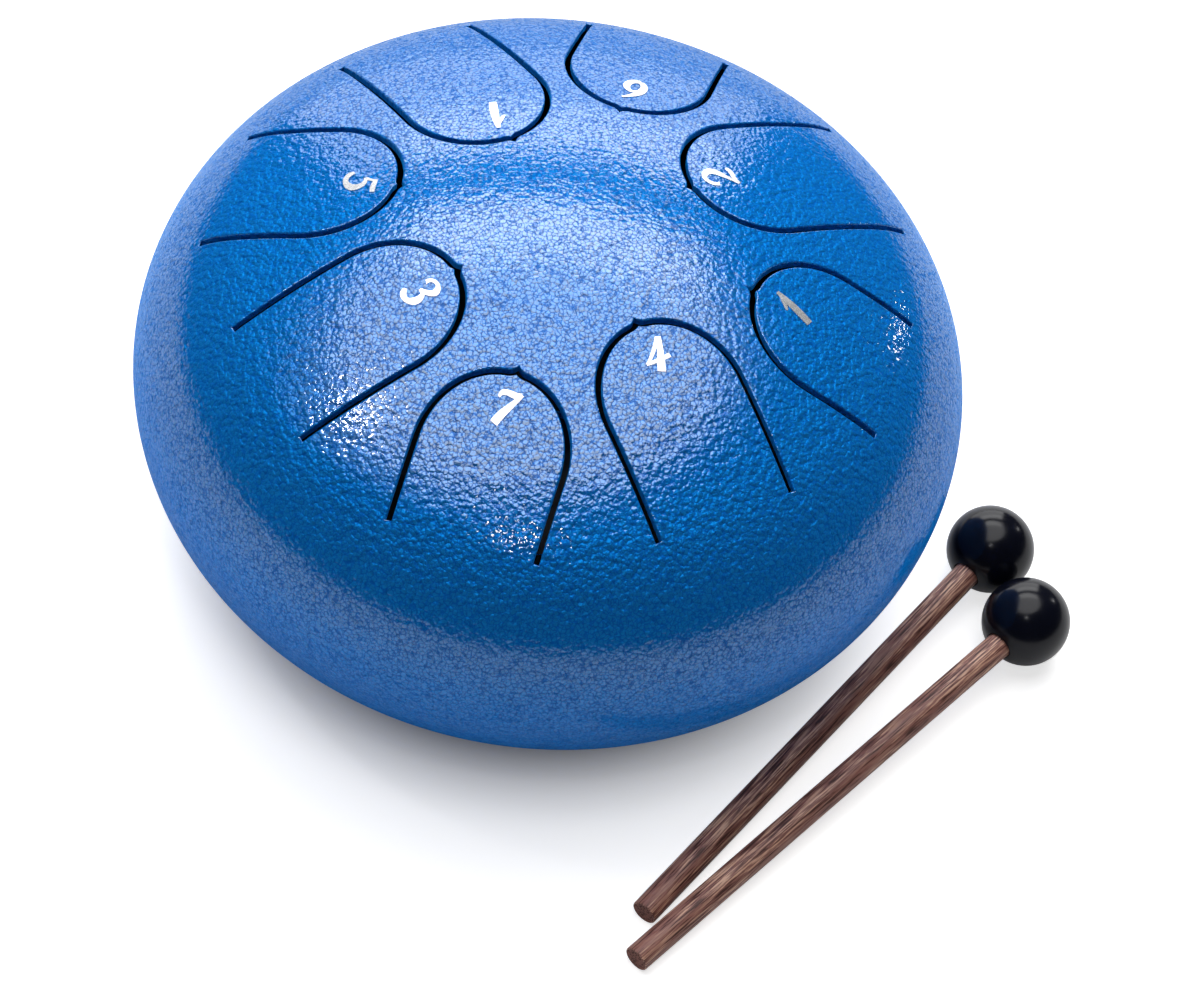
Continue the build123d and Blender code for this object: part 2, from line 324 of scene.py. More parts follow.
@once
def hammered_enamel(finishes):
    """Blue hammered stoving enamel: metal flakes gathered in low cushions, with deeper blue veins between them.

    The flakes give a wide blue sheen. The resin over the cushions mirrors the lamps, more than clear resin
    would because the finest flakes float in it, so a lamp's reflection is pale and breaks up along its edges.
    It is faint in the veins, where the resin is thin. On the steep sides below the shoulder the film is drawn
    paler, which is painted light, and less of a mirror, which is a painted dim reflection.
    """
    material, tree, shader = start_material("hammered_enamel")
    place = own_place(tree)
    cell = finishes.enamel_cell
    cells_per_metre = 1 / cell
    wander = add_node(
        tree, "TexNoise", {"Vector": place, "Scale": cells_per_metre * 1.2, "Detail": 1.0}
    ).outputs["Color"]
    centred = add_node(
        tree, "VectorMath", {0: wander, 1: (0.5, 0.5, 0.5)}, operation="SUBTRACT"
    ).outputs["Vector"]
    shifted = add_node(
        tree, "VectorMath", {0: centred, 1: (cell * 0.9,) * 3, 2: place}, operation="MULTIPLY_ADD"
    ).outputs["Vector"]
    net = {"Vector": shifted, "Scale": cells_per_metre}
    cell_edge = add_node(tree, "TexVoronoi", net, feature="DISTANCE_TO_EDGE").outputs["Distance"]
    # Veins come and go, so a slower noise opens gaps in the net
    gaps = noise(tree, place, cells_per_metre * 0.7, 3.0, 0.6)
    vein_width = ramp(tree, gaps, (0.36, 0.66), (0.08, 0.28))
    cushion = ramp(tree, cell_edge, (0.0, vein_width), WHOLE, "SMOOTHSTEP")

    height = add_node(tree, "SeparateXYZ", {"Vector": place}).outputs["Z"]
    # Painted light and reflection: below the shoulder the film is drawn paler and its resin mirrors less, by
    # height alone
    steep_sides = (SEAM_HEIGHT, SEAM_HEIGHT + 20 * MM)
    side_mirror_span = (0.45, 1.0)
    side_mirror_share = ramp(tree, height, steep_sides, side_mirror_span, "SMOOTHSTEP")
    painted_side_light = ramp(tree, side_mirror_share, side_mirror_span, (1.4, 1.0))
    film = mix(tree, cushion, opaque(finishes.enamel_vein), opaque(finishes.enamel_blue))
    film_with_painted_side_light = add_node(
        tree, "VectorMath", {0: film, "Scale": painted_side_light}, operation="SCALE"
    ).outputs["Vector"]

    to_middle = add_node(tree, "TexVoronoi", {**net, "Smoothness": 0.3}, feature="SMOOTH_F1").outputs["Distance"]
    sag = calculate(tree, "MULTIPLY", to_middle, to_middle)
    swell = noise(tree, place, cells_per_metre * 0.55, 1.0)
    sag_depth = -0.4
    relief = calculate(tree, "MULTIPLY_ADD", sag, sag_depth, swell)
    # Under the levelled resin the flakes lie steeper around each cushion
    flake_steepness = 7
    resin_in_veins = 0.1
    sockets = {
        "Base Color": film_with_painted_side_light,
        "Metallic": ramp(tree, cushion, WHOLE, (0.12, 0.34)),
        "Roughness": 0.36,
        "Normal": relief_of(tree, relief, finishes.enamel_peel * flake_steepness),
        "Specular IOR Level": 0.0,
        "Specular Tint": opaque(finishes.enamel_haze),
        "Sheen Weight": 0.7,
        "Sheen Roughness": 0.5,
        "Sheen Tint": opaque(finishes.enamel_haze),
        "Coat Weight": ramp(tree, cushion, WHOLE, (resin_in_veins, side_mirror_share)),
        "Coat Roughness": 0.06,
        "Coat IOR": 2.0,
        "Coat Normal": relief_of(tree, relief, finishes.enamel_peel),
    }
    fill(tree, shader, sockets)
    return material


@once
def dark_primer(finishes):
    """Sprayed grey primer on the inside of the shells: matt, with a fine dry overspray grain."""
    material, tree, shader = start_material("dark_primer")
    primer = finishes.inside_primer
    grain = noise(tree, own_place(tree), 1 / (0.8 * MM), 3.0)
    sockets = {
        "Base Color": mix(tree, grain, opaque(primer, 0.6), opaque(primer)),
        "Normal": relief_of(tree, grain, 0.03 * MM),
        "Roughness": 0.75,
    }
    fill(tree, shader, sockets)
    return material


@once
def mirror_foil(finishes):
    """Hot-stamped silver foil: a mirror that follows the hammered paint under it, so it glitters a little."""
    material, tree, shader = start_material("mirror_foil")
    paint_under = noise(tree, own_place(tree), 1 / finishes.enamel_cell, 2.0)
    sockets = {
        "Base Color": opaque(finishes.foil_silver),
        "Metallic": 0.7,
        "Roughness": ramp(tree, paint_under, NOISE_SPAN, (0.22, 0.32)),
        "Normal": relief_of(tree, paint_under, finishes.enamel_peel * 0.06),
    }
    fill(tree, shader, sockets)
    return material


@once
def moulded_rubber(finishes):
    """Moulded black rubber of the feet: matt, with a fine mould grain and a bloom of paler dust."""
    material, tree, shader = start_material("moulded_rubber")
    place = own_place(tree)
    rubber = finishes.foot_black
    bloom = noise(tree, place, 1 / (4 * MM), 4.0)
    grain = noise(tree, place, 1 / (0.5 * MM), 2.0)
    sockets = {
        "Base Color": mix(tree, bloom, opaque(rubber), opaque(rubber, 2.0)),
        "Normal": relief_of(tree, grain, 0.03 * MM),
        "Roughness": 0.7,
    }
    fill(tree, shader, sockets)
    return material


@once
def zinc_plate(finishes):
    """Bright zinc plating on steel fasteners: silvery, with faint cloudy spangle."""
    material, tree, shader = start_material("zinc_plate")
    spangle = noise(tree, own_place(tree), 1 / (1.5 * MM), 3.0)
    sockets = {
        "Base Color": mix(tree, spangle, opaque(finishes.zinc, 0.7), opaque(finishes.zinc)),
        "Metallic": 1.0,
        "Roughness": ramp(tree, spangle, NOISE_SPAN, (0.28, 0.45)),
    }
    fill(tree, shader, sockets)
    return material


@once
def weld_bead(finishes):
    """Bare arc weld: dull grey steel with ripples and heat-darkened patches."""
    material, tree, shader = start_material("weld_bead")
    place = own_place(tree)
    steel = finishes.weld_grey
    heat = noise(tree, place, 1 / (5 * MM), 3.0)
    ripples = noise(tree, place, 1 / (1.2 * MM), 2.0)
    sockets = {
        "Base Color": mix(tree, heat, opaque(steel, 0.35), opaque(steel)),
        "Metallic": 1.0,
        "Roughness": 0.5,
        "Normal": relief_of(tree, ripples, 0.2 * MM),
    }
    fill(tree, shader, sockets)
    return material


@once
def dark_palmwood(finishes):
    """Turned and oiled palm wood: long dark and golden fibres in a red-brown body, a soft satin sheen.

    The handle's own Z runs along it, so the fibres are noise stretched along Z. They are drawn about twice
    as wide as real ones, so that they still show at the picture's size.
    """
    material, tree, shader = start_material("dark_palmwood")
    place = add_node(tree, "Attribute", attribute_name=PIECE_PLACE).outputs["Vector"]
    across = 1 / finishes.wood_fibre
    fibre_size = (across, across, across / 22)
    strands = add_node(tree, "Mapping", {"Vector": place, "Scale": fibre_size}).outputs["Vector"]
    fine = noise(tree, strands, 1.0, 3.0, 0.6)
    band_size = (across / 4, across / 4, across / 45)
    bands = add_node(tree, "Mapping", {"Vector": place, "Scale": band_size}).outputs["Vector"]
    broad = noise(tree, bands, 1.0, 2.0, distortion=0.4)
    pale = ramp(tree, fine, (0.50, 0.59), WHOLE, "SMOOTHSTEP")
    lit_bands = ramp(tree, broad, (0.40, 0.58), (0.2, 1.0), "SMOOTHSTEP")
    gold = calculate(tree, "MULTIPLY", pale, lit_bands)
    dark = ramp(tree, fine, (0.48, 0.39), (0.0, 0.95), "SMOOTHSTEP")
    body = mix(tree, gold, opaque(finishes.wood_brown), opaque(finishes.wood_gold))
    sockets = {
        "Base Color": mix(tree, dark, body, opaque(finishes.wood_dark)),
        "Roughness": ramp(tree, fine, NOISE_SPAN, (0.55, 0.38)),
        "Normal": relief_of(tree, fine, 0.06 * MM),
    }
    fill(tree, shader, sockets)
    return material


@once
def palmwood_end(finishes):
    """Sawn end grain of the palm wood: cut fibres seen as dark dots in a paler ground, quite matt."""
    material, tree, shader = start_material("palmwood_end")
    place = add_node(tree, "Attribute", attribute_name=PIECE_PLACE).outputs["Vector"]
    fibres_per_metre = 1 / (finishes.wood_fibre * 1.1)
    dots = add_node(tree, "TexVoronoi", {"Vector": place, "Scale": fibres_per_metre}).outputs["Distance"]
    ground = ramp(tree, dots, (0.25, 0.6), WHOLE, "SMOOTHSTEP")
    sockets = {
        "Base Color": mix(tree, ground, opaque(finishes.wood_dark), opaque(finishes.wood_brown)),
        "Roughness": 0.8,
        "Normal": relief_of(tree, dots, 0.08 * MM),
    }
    fill(tree, shader, sockets)
    return material


@once
def polished_rubber(finishes):
    """Hard black rubber of the mallet heads, polished: deep blue-black, soft bright highlights, faint haze."""
    material, tree, shader = start_material("polished_rubber")
    rubber = finishes.ball_black
    haze = noise(tree, own_place(tree), 1 / (3 * MM), 4.0)
    sockets = {
        "Base Color": mix(tree, haze, opaque(rubber), opaque(rubber, 1.6)),
        "Roughness": ramp(tree, haze, NOISE_SPAN, (0.16, 0.24)),
        "IOR": 1.36,
    }
    fill(tree, shader, sockets)
    return material


def white_paper(stage):
    """Roll of matt white photographic paper with a very faint mottled tooth, and a painted shadow under and around
    the drum.
    """
    material, tree, shader = start_material("white_paper")
    place = own_place(tree)
    tooth = noise(tree, place, 1 / (6 * MM), 3.0)
    away = add_node(tree, "VectorMath", {0: place, 1: DRUM_AXIS}, operation="DISTANCE").outputs["Value"]
    # Painted shadow: the paper's own colour is darkened under and around the drum
    under_drum = (25 * MM, 72 * MM)
    painted_shadow = ramp(tree, away, under_drum, (0.12, 0.98), "SMOOTHSTEP")
    tooth_depth = 0.02
    paper_tone_and_painted_shadow = calculate(tree, "MULTIPLY_ADD", tooth, tooth_depth, painted_shadow)
    # Seen directly the paper is white; near the drum this glow is faded out as a painted shadow around its feet
    around_drum = (48 * MM, 74 * MM)
    glow_past_painted_shadow = ramp(tree, away, around_drum, (0.0, 0.7), "SMOOTHSTEP")
    seen = backdrop_share(tree, mirrored_share=0.15, other_share=0.0)
    sockets = {
        "Base Color": mix(tree, paper_tone_and_painted_shadow, BLACK, opaque(stage.floor_white)),
        "Roughness": 0.9,
        "Emission Color": WHITE,
        "Emission Strength": calculate(tree, "MULTIPLY", seen, glow_past_painted_shadow),
    }
    fill(tree, shader, sockets)
    return material


class Pressing:
    """Faces of one piece, with the true direction of the surface at each corner."""

    def __init__(self):
        self.places = {}
        self.points = []
        self.faces = []
        self.directions = []
        self.finishes = []

    def face(self, corners, finish):
        """Add a face from (point, direction) corners, turned to the side that its directions point to."""
        kept = []
        for point, direction in corners:
            key = tuple(round(value / SAME_POINT) for value in point)
            if key not in self.places:
                self.places[key] = len(self.points)
                self.points.append(tuple(point))
            index = self.places[key]
            if index not in [other for other, _ in kept]:
                kept.append((index, direction))
        if len(kept) < 3:
            return
        loop = [Vector(self.points[index]) for index, _ in kept]
        facing = Vector()
        for here, after in zip(loop, loop[1:] + loop[:1]):
            facing += (here - loop[0]).cross(after - loop[0])
        if facing.dot(sum((direction for _, direction in kept), Vector())) < 0:
            kept.reverse()
        self.faces.append([index for index, _ in kept])
        self.directions.extend(direction.normalized() for _, direction in kept)
        self.finishes.append(finish)

    def strip(self, first, second, finish, closed=False):
        """Quads between two rows of corners of equal length."""
        count = len(first) if closed else len(first) - 1
        for index in range(count):
            after = (index + 1) % len(first)
            self.face([first[index], first[after], second[after], second[index]], finish)

    def make(self, name, materials, matrix, body, nodes, slot):
        """Blender object of the faces, riding on a body in place of its CAD nodes.

        The mesh is turned to the frame's axes, and keeps each point's place on the unturned piece.
        """
        turned = matrix.to_3x3()
        mesh = bpy.data.meshes.new(name)
        mesh.from_pydata([turned @ Vector(point) for point in self.points], [], self.faces)
        mesh.polygons.foreach_set("use_smooth", [True] * len(self.faces))
        mesh.polygons.foreach_set("material_index", self.finishes)
        mesh.normals_split_custom_set([turned @ direction for direction in self.directions])
        place = mesh.attributes.new(PIECE_PLACE, "FLOAT_VECTOR", "POINT")
        place.data.foreach_set("vector", [value for point in self.points for value in point])
        for material in materials:
            mesh.materials.append(material)
        piece = bpy.data.objects.new(name, mesh)
        piece.location = matrix.translation
        bpy.context.scene.collection.objects.link(piece)
        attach(piece, body)
        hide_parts(*nodes)


def turn(rows, bearing):
    """Corners of a turned profile at one bearing, from (radius, height, direction out, direction up) rows."""
    return [
        (
            Vector((radius * cos(bearing), radius * sin(bearing), height)),
            Vector((out * cos(bearing), out * sin(bearing), up)),
        )
        for radius, height, out, up in rows
    ]


def revolve(pressing, rows, segments, finish):
    """Faces of a profile turned about Z."""
    spokes = [turn(rows, 2 * pi * index / segments) for index in range(segments)]
    for here, after in zip(spokes, spokes[1:] + spokes[:1]):
        pressing.strip(here, after, finish)


def arc_rows(centre_radius, centre_height, radius, start, end, steps, side=1):
    """Profile rows along an arc, with directions away from its centre, or towards it with side -1."""
    rows = []
    for step in range(steps + 1):
        angle = start + (end - start) * step / steps
        out, up = cos(angle), sin(angle)
        rows.append((centre_radius + radius * out, centre_height + radius * up, side * out, side * up))
    return rows


def inside_loop(points, loop):
    """Which plan points lie inside a closed loop."""
    x, y = np.asarray(points).T[:, :, None]
    ax, ay = np.asarray(loop).T[:, None, :]
    bx, by = np.roll(ax, -1, axis=1), np.roll(ay, -1, axis=1)
    spans = (ay > y) != (by > y)
    rise = np.where(by == ay, 1.0, by - ay)
    left = x < (bx - ax) * (y - ay) / rise + ax
    return np.sum(spans & left, axis=1) % 2 == 1


def fill_plan(outline, holes, spacing):
    """Triangles of plan points that fill an outline around its holes, with inner points on a grid."""
    loops = [outline] + holes
    points = [point for loop in loops for point in loop]
    edges = []
    start = 0
    for loop in loops:
        edges += [(start + index, start + (index + 1) % len(loop)) for index in range(len(loop))]
        start += len(loop)
    low, high = np.min(outline, axis=0), np.max(outline, axis=0)
    row_step = spacing * sqrt(3) / 2
    grid = []
    for row in range(ceil((high[1] - low[1]) / row_step)):
        for column in range(ceil((high[0] - low[0]) / spacing)):
            grid.append((low[0] + (column + row % 2 / 2) * spacing, low[1] + row * row_step))
    free = inside_loop(grid, outline)
    for hole in holes:
        free &= ~inside_loop(grid, hole)
    border = np.asarray(points)
    for index, point in enumerate(grid):
        if free[index] and np.min(np.hypot(*(border - point).T)) > spacing / 3:
            points.append(point)
    made = delaunay_2d_cdt([Vector(point) for point in points], edges, [], 0, SAME_PLAN_POINT)
    origin = [sources[0] for sources in made[3]]
    triangles = [[points[origin[corner]] for corner in face] for face in made[2]]
    centres = [np.mean(triangle, axis=0) for triangle in triangles]
    kept = inside_loop(centres, outline)
    for hole in holes:
        kept &= ~inside_loop(centres, hole)
    return [triangle for triangle, keep in zip(triangles, kept) if keep]


class DomeSurface:
    """Outer and inner surface of the upper shell."""

    def __init__(self, shells):
        self.sheet = shells.sheet
        self.dome = shells.dome_radius
        self.shoulder = shells.shoulder_radius
        self.ring = DRUM_RADIUS - self.shoulder
        spread = asin(self.ring / (self.dome - self.shoulder))
        self.spread = spread
        self.centre = SEAM_HEIGHT - (self.dome - self.shoulder) * cos(spread)

    def at(self, x, y, inset=0.0):
        """Height and upward direction over a plan point."""
        distance = hypot(x, y)
        if distance < (self.dome - inset) * sin(self.spread):
            radius = self.dome - inset
            out, up = distance / radius, sqrt(1 - (distance / radius) ** 2)
            height = self.centre + radius * up
        else:
            radius = self.shoulder - inset
            out = min((distance - self.ring) / radius, 1.0)
            up = sqrt(1 - out**2)
            height = SEAM_HEIGHT + radius * up
        share = out / distance if distance else 0.0
        return height, Vector((x * share, y * share, up))

    def outer(self, x, y):
        """Corner on the outside."""
        height, direction = self.at(x, y)
        return Vector((x, y, height)), direction

    def inner(self, x, y):
        """Corner on the inside."""
        height, direction = self.at(x, y, self.sheet)
        return Vector((x, y, height)), -direction


def nib_flank(end, growth, half_width, head, shells):
    """Plan points of one hollow flank of a nib, from the round end to the point."""
    half = shells.nib_half_width
    sag = head * (1 - sqrt(1 - (half / half_width) ** 2))
    depth = sag + shells.nib_height + growth
    radius = (depth**2 + half**2) / (2 * depth)
    centre = end + sag - radius
    sweep = atan2(half, radius - depth)
    angles = [sweep * step / NIB_STEPS for step in range(1, NIB_STEPS + 1)]
    return [(centre + radius * cos(angle), half - radius * sin(angle)) for angle in angles]


def tongue_side(end, root, widening, growth, shells):
    """Plan points of half a tongue's outline along +X, from its root to the point of its nib."""
    half_width = shells.tongue_half_width + widening
    head = shells.tongue_head + widening
    head_centre = end + shells.tongue_head
    points = [
        (root + (head_centre - root) * step / SIDE_STEPS, half_width) for step in range(1, SIDE_STEPS + 1)
    ]
    last = asin(shells.nib_half_width / half_width)
    for step in range(1, HEAD_STEPS + 1):
        angle = pi / 2 + (last - pi / 2) * step / HEAD_STEPS
        points.append((head_centre - head * cos(angle), half_width * sin(angle)))
    return points + nib_flank(end - widening, growth, half_width, head, shells)


def mirrored(points):
    """A half outline followed by its mirror image, which share the last point."""
    return points + [(x, -y) for x, y in reversed(points[:-1])]


def strip_outline(end, root, inset, shells):
    """Open outline of a tongue with its edge moved in by inset."""
    start = [(root, shells.tongue_half_width - inset)]
    return mirrored(start + tongue_side(end, root, -inset, 0.0, shells))


def opening_outline(end, root, offset, shells):
    """Open outline of the opening around a tongue, round the square slot ends, with its edge moved out."""
    near = shells.tongue_half_width - offset
    far = shells.tongue_half_width + shells.slot_width + offset
    start = [(root, near), (root + offset, near), (root + offset, far), (root, far)]
    return mirrored(start + tongue_side(end, root, shells.slot_width + offset, shells.nib_growth, shells))


def root_line(root, half_width):
    """Plan points across a tongue's root, without the two ends, from -Y to +Y."""
    return [(root, half_width * (2 * step / ROOT_STEPS - 1)) for step in range(1, ROOT_STEPS)]


def plan_circle(x, y, radius, steps):
    """Plan points of a circle."""
    angles = [2 * pi * index / steps for index in range(steps)]
    return [(x + radius * cos(angle), y + radius * sin(angle)) for angle in angles]


def turned_plan(points, bearing):
    """Plan points turned about the drum's axis."""
    return [(x * cos(bearing) - y * sin(bearing), x * sin(bearing) + y * cos(bearing)) for x, y in points]


def cut_edge(pressing, surface, outlines, root_points, bearing, end_direction):
    """Rounded edges and wall of a slot, and the closing face on the root line.

    outlines run from the edge of the flat top, through the rounding, to the wall.
    """
    plans = [turned_plan(outline, bearing) for outline in outlines]
    towards_slot = [
        Vector((wx - tx, wy - ty, 0)).normalized() for (tx, ty), (wx, wy) in zip(plans[0], plans[-1])
    ]
    # The rounding is the shift of the edge at the root
    lip = abs(outlines[0][0][1] - outlines[-1][0][1])
    top_rows, bottom_rows = [], []
    for step, plan in enumerate(plans):
        angle = pi / 2 * step / LIP_STEPS
        drop = lip * (1 - cos(angle))
        top, bottom = [], []
        for (x, y), slotward in zip(plan, towards_slot):
            height, up = surface.at(x, y)
            top.append((Vector((x, y, height - drop)), up * cos(angle) + slotward * sin(angle)))
            height, up = surface.at(x, y, surface.sheet)
            bottom.append((Vector((x, y, height + drop)), slotward * sin(angle) - up * cos(angle)))
        top_rows.append(top)
        bottom_rows.append(bottom)
    for here, after in zip(top_rows, top_rows[1:]):
        pressing.strip(here, after, OUTSIDE)
    pressing.strip(top_rows[-1], bottom_rows[-1], OUTSIDE)
    for here, after in zip(bottom_rows, bottom_rows[1:]):
        pressing.strip(here, after, INSIDE)
    across = turned_plan(root_points, bearing)
    section = [surface.outer(x, y)[0] for x, y in across]
    section += [row[0][0] for row in top_rows] + [row[0][0] for row in reversed(bottom_rows)]
    section += [surface.inner(x, y)[0] for x, y in reversed(across)]
    section += [row[-1][0] for row in bottom_rows] + [row[-1][0] for row in reversed(top_rows)]
    pressing.face([(point, end_direction) for point in section], INSIDE)


def lip_offsets(shells):
    """How far the rounding's steps lie from the wall."""
    return [shells.slot_lip * (1 - sin(pi / 2 * step / LIP_STEPS)) for step in range(LIP_STEPS + 1)]


def tongue_place(body, shells):
    """Bearing, distance of the round end and distance of the root of a tongue."""
    name = body.removeprefix("struck_")
    joint = next(joint for joint in frame["joints"] if joint["child"] == body)
    hinge = Vector(joint["pos_m"]) - DRUM_AXIS
    tip = min(hypot(point.x - DRUM_AXIS.x, point.y - DRUM_AXIS.y) for point in points_of("tongue_" + name))
    return atan2(hinge.y, hinge.x), tip + shells.nib_height, hypot(hinge.x, hinge.y)


def dome_sheet(pressing, surface, outline, holes):
    """Both faces of a part of the dome, inside a plan outline and around its holes."""
    for triangle in fill_plan(outline, holes, DOME_SPACING):
        pressing.face([surface.outer(x, y) for x, y in triangle], OUTSIDE)
        pressing.face([surface.inner(x, y) for x, y in triangle], INSIDE)


def make_sheet(pressing, finishes, name, body, node):
    """Piece of sheet steel on the drum's axis, enamelled outside and primed inside."""
    materials = [hammered_enamel(finishes), dark_primer(finishes)]
    pressing.make(name, materials, Matrix.Translation(DRUM_AXIS), body, [node], "enamel")


class TONGUEDRUM_OT_upper_shell(bpy.types.Operator):
    """Build the domed upper shell with the eight openings around its tongues"""

    bl_idname = "tongue_drum.upper_shell"
    bl_label = "Upper Shell"

    def execute(self, context):
        shells = context.scene.drum_shells
        surface = DomeSurface(shells)
        pressing = Pressing()
        half_width = shells.tongue_half_width - shells.slot_lip
        holes = []
        for body in TONGUES:
            bearing, end, root = tongue_place(body, shells)
            outlines = [opening_outline(end, root, offset, shells) for offset in lip_offsets(shells)]
            across = root_line(root, half_width)
            inward = Vector((-cos(bearing), -sin(bearing), 0))
            cut_edge(pressing, surface, outlines, across, bearing, inward)
            holes.append(turned_plan(outlines[0] + across, bearing))
        reach = max(hypot(x, y) for hole in holes for x, y in hole) + PAST_SLOTS
        dome_sheet(pressing, surface, plan_circle(0, 0, reach, TURNS), holes)
        for inset, side, finish in [(0.0, 1, OUTSIDE), (shells.sheet, -1, INSIDE)]:
            radius = shells.shoulder_radius - inset
            start = acos((reach - surface.ring) / radius)
            rows = arc_rows(surface.ring, SEAM_HEIGHT, radius, start, 0.0, SHOULDER_STEPS, side)
            revolve(pressing, rows, TURNS, finish)
        seam = [(DRUM_RADIUS, SEAM_HEIGHT, 0, -1), (DRUM_RADIUS - shells.sheet, SEAM_HEIGHT, 0, -1)]
        revolve(pressing, seam, TURNS, INSIDE)
        finishes = context.scene.drum_finishes
        make_sheet(pressing, finishes, "enamelled_upper_shell", "drum", "upper_shell")
        return {"FINISHED"}


class TONGUEDRUM_OT_tongues(bpy.types.Operator):
    """Build the eight tongues, each on its own sprung root"""

    bl_idname = "tongue_drum.tongues"
    bl_label = "Tongues"

    def execute(self, context):
        shells = context.scene.drum_shells
        finishes = context.scene.drum_finishes
        surface = DomeSurface(shells)
        half_width = shells.tongue_half_width - shells.slot_lip
        for body in TONGUES:
            name = body.removeprefix("struck_")
            pressing = Pressing()
            bearing, end, root = tongue_place(body, shells)
            root -= shells.root_gap
            outlines = [strip_outline(end, root, offset, shells) for offset in lip_offsets(shells)]
            across = root_line(root, half_width)
            outward = Vector((cos(bearing), sin(bearing), 0))
            cut_edge(pressing, surface, outlines, across, bearing, outward)
            dome_sheet(pressing, surface, turned_plan(outlines[0] + across, bearing), [])
            make_sheet(pressing, finishes, "enamelled_tongue_" + name, body, "tongue_" + name)
        return {"FINISHED"}


class TONGUEDRUM_OT_lower_shell(bpy.types.Operator):
    """Build the lower shell with its flat bottom, sound hole and screw holes"""

    bl_idname = "tongue_drum.lower_shell"
    bl_label = "Lower Shell"

    def execute(self, context):
        shells = context.scene.drum_shells
        finishes = context.scene.drum_finishes
        pressing = Pressing()
        ring = DRUM_RADIUS - shells.belly_radius
        lip = shells.sound_hole_lip
        hole_edge = shells.sound_hole_radius + lip
        rim = plan_circle(0, 0, ring, TURNS)
        holes = [[(x * hole_edge / ring, y * hole_edge / ring) for x, y in rim]]
        for foot in FEET:
            centre = middle(foot) - DRUM_AXIS
            holes.append(plan_circle(centre.x, centre.y, shells.screw_hole_radius, SCREW_HOLE_STEPS))
        bottom, floor = FLOOR_OF_DRUM, FLOOR_OF_DRUM + shells.sheet
        for triangle in fill_plan(rim, holes, BOTTOM_SPACING):
            pressing.face([(Vector((x, y, bottom)), DOWN) for x, y in triangle], OUTSIDE)
            pressing.face([(Vector((x, y, floor)), UP) for x, y in triangle], INSIDE)
        for hole in holes[1:]:
            centre = Vector(np.mean(hole, axis=0))
            inward = [(centre - Vector(point)).to_3d() for point in hole]
            low = [(Vector((*point, bottom)), way) for point, way in zip(hole, inward)]
            high = [(Vector((*point, floor)), way) for point, way in zip(hole, inward)]
            pressing.strip(low, high, INSIDE, closed=True)
        mouth = arc_rows(hole_edge, bottom + lip, lip, -pi / 2, -pi, SOUND_HOLE_LIP_STEPS)
        mouth += arc_rows(hole_edge, floor - lip, lip, pi, pi / 2, SOUND_HOLE_LIP_STEPS)
        revolve(pressing, mouth, TURNS, OUTSIDE)
        for inset, side, finish in [(0.0, 1, OUTSIDE), (shells.sheet, -1, INSIDE)]:
            radius = shells.belly_radius - inset
            rows = arc_rows(ring, SEAM_HEIGHT, radius, 0.0, -pi / 2, BELLY_STEPS, side)
            revolve(pressing, rows, TURNS, finish)
        seam = [(DRUM_RADIUS, SEAM_HEIGHT, 0, 1), (DRUM_RADIUS - shells.sheet, SEAM_HEIGHT, 0, 1)]
        revolve(pressing, seam, TURNS, INSIDE)
        make_sheet(pressing, finishes, "enamelled_lower_shell", "drum", "lower_shell")
        return {"FINISHED"}


def finish_node(node, material):
    """Give a CAD node its finish."""
    frame["nodes"][node].material_slots[0].material = material


class TONGUEDRUM_OT_numerals(bpy.types.Operator):
    """Finish the foil numerals on the tongues"""

    bl_idname = "tongue_drum.numerals"
    bl_label = "Numerals"

    def execute(self, context):
        foil = mirror_foil(context.scene.drum_finishes)
        for body in TONGUES:
            finish_node("numeral_" + body.removeprefix("struck_"), foil)
        return {"FINISHED"}


class TONGUEDRUM_OT_feet(bpy.types.Operator):
    """Finish the rubber feet, their screws, washers and nuts, and the weld bead inside"""

    bl_idname = "tongue_drum.feet"
    bl_label = "Feet and Fasteners"

    def execute(self, context):
        finishes = context.scene.drum_finishes
        for foot in FEET:
            finish_node(foot, moulded_rubber(finishes))
        for fastener in FASTENERS:
            finish_node(fastener, zinc_plate(finishes))
        # The nuts get the dark primer as painted shade, since they sit in the dark inside the drum
        finish_node("foot_nuts", dark_primer(finishes))
        finish_node("seam_weld", weld_bead(finishes))
        return {"FINISHED"}


def mallet_place(side):
    """Matrix of a mallet: origin in the middle of its head, Z along its handle to the tail."""
    head = middle("mallet_head_" + side)
    handle = {tuple(round(value, 6) for value in point) for point in points_of("mallet_handle_" + side)}
    along = Vector(np.mean(list(handle), axis=0)) - head
    turned = along.to_track_quat("Z", "Y").to_matrix().to_4x4()
    return Matrix.Translation(head) @ turned


